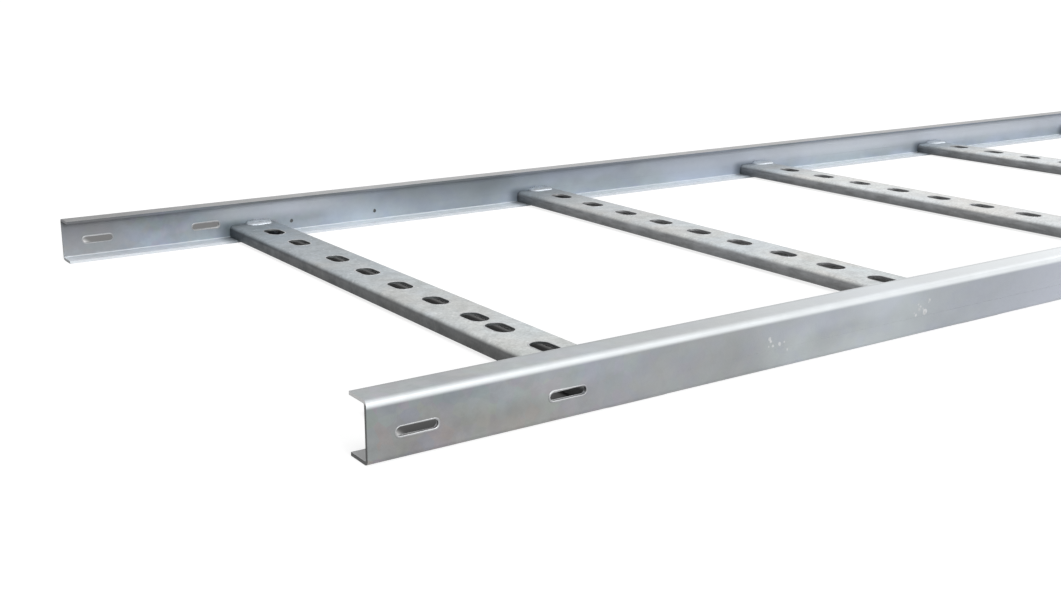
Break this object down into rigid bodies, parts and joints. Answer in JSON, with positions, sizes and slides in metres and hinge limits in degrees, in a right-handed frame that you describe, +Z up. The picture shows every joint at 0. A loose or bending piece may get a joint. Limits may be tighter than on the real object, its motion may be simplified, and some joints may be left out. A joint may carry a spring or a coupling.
{
  "type": "cable ladder section",
  "caption": "Straight cable ladder section: two channel side rails with slotted flat channel rungs welded between them, joint slots at the rail ends.",
  "frame": {"origin": "middle of the ladder's footprint, on the level floor under the side rails' bottom flanges", "axes": "+X along the side rails, away from the rail ends that the picture shows; +Y across the ladder from the front side rail to the back one; +Z up"},
  "size_m": [3, 0.53, 0.034],
  "materials": {
    "galvanised_rail": "hot-dip galvanised, mottled dull silver grey with bluish and greenish patches",
    "galvanised_rung": "hot-dip galvanised, pale dull silver grey"
  },
  "bodies": {
    "root": {"front_side_rail": "galvanised_rail", "back_side_rail": "galvanised_rail", "rung_1": "galvanised_rung", "rung_2": "galvanised_rung", "rung_3": "galvanised_rung", "rung_4": "galvanised_rung", "rung_5": "galvanised_rung", "rung_6": "galvanised_rung", "rung_7": "galvanised_rung", "rung_8": "galvanised_rung", "rung_9": "galvanised_rung", "rung_10": "galvanised_rung"}
  },
  "joints": []
}
